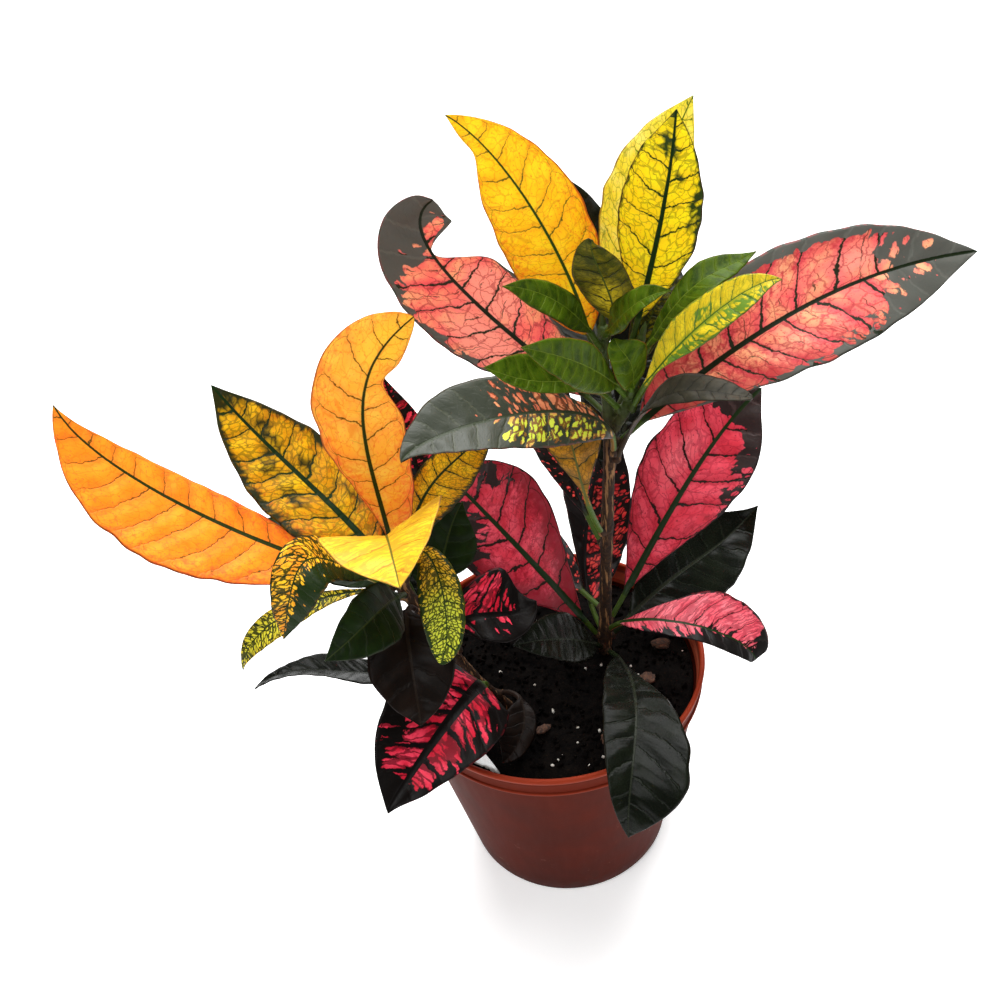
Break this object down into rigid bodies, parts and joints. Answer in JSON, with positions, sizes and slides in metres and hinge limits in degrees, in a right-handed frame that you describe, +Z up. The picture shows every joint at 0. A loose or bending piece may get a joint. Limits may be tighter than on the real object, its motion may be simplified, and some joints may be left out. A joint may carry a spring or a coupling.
{
  "type": "potted croton",
  "caption": "Croton house plant with broad yellow, coral, crimson and near-black leaves on two stems, growing in a tapered terracotta-coloured nursery pot of dark soil.",
  "frame": {"origin": "on the floor, at the centre of the pot's underside", "axes": "+Z up along the pot's axis, -Y towards the viewer of the reference view, +X to that view's right, where the tall stem stands"},
  "size_m": [0.3469, 0.1857, 0.3645],
  "materials": {
    "pot": "satin terracotta-coloured plastic",
    "soil": "loose dark potting mix",
    "stem": "dark brown bark with dry tan strips, green at the tips",
    "label": "blank white plastic",
    "leaf_yellow": "satin leaf, fine green veins, red margins",
    "leaf_gold": "satin leaf, dark green veins and blotches",
    "leaf_bright": "satin leaf, bright yellow with a green net",
    "leaf_green": "glossy young leaf, pale midrib",
    "leaf_coral": "satin leaf, coral with dark green veins, margin and tip",
    "leaf_pink": "satin leaf, crimson pink with dark veins and tip",
    "leaf_amber": "satin leaf, amber with dark veins and red freckles",
    "leaf_streaked": "glossy leaf, dark green with yellow streaks",
    "leaf_dark": "glossy black-green leaf"
  },
  "bodies": {
    "root": {"pot": "pot", "soil": "soil", "stem_tall": "stem", "stem_side": "stem", "plant_label": "label", "leaf_top_yellow": "leaf_yellow", "leaf_top_back": "leaf_dark", "leaf_top_pale": "leaf_yellow", "leaf_top_golden": "leaf_gold", "leaf_young_olive": "leaf_green", "leaf_young_left": "leaf_green", "leaf_young_right": "leaf_green", "leaf_green_right": "leaf_green", "leaf_young_brown": "leaf_green", "leaf_bright_right": "leaf_bright", "leaf_green_left": "leaf_green", "leaf_green_low": "leaf_green", "leaf_young_tip": "leaf_green", "leaf_coral_right": "leaf_coral", "leaf_grey_right": "leaf_dark", "leaf_coral_left": "leaf_coral", "leaf_grey_left": "leaf_coral", "leaf_ochre": "leaf_gold", "leaf_back_high": "leaf_dark", "leaf_back_left": "leaf_pink", "leaf_back_middle": "leaf_dark", "leaf_back_low": "leaf_pink", "leaf_low_back": "leaf_pink", "leaf_low_right": "leaf_pink", "leaf_low_black": "leaf_dark", "leaf_low_pink": "leaf_pink", "leaf_low_front": "leaf_dark", "leaf_low_left": "leaf_pink", "leaf_low_soil": "leaf_dark", "leaf_side_amber": "leaf_amber", "leaf_side_golden": "leaf_gold", "leaf_side_orange": "leaf_amber", "leaf_side_crimson": "leaf_pink", "leaf_side_inner": "leaf_gold", "leaf_side_bright": "leaf_bright", "leaf_side_streaked": "leaf_streaked", "leaf_side_small": "leaf_streaked", "leaf_side_grey": "leaf_dark", "leaf_side_green": "leaf_dark", "leaf_side_brown": "leaf_dark", "leaf_side_hanging": "leaf_streaked", "leaf_side_dark": "leaf_dark", "leaf_side_back": "leaf_dark", "leaf_side_far": "leaf_dark", "leaf_side_deep": "leaf_dark", "leaf_side_behind": "leaf_dark", "leaf_side_inward": "leaf_pink", "leaf_side_front": "leaf_pink", "leaf_side_low": "leaf_dark"}
  },
  "joints": []
}
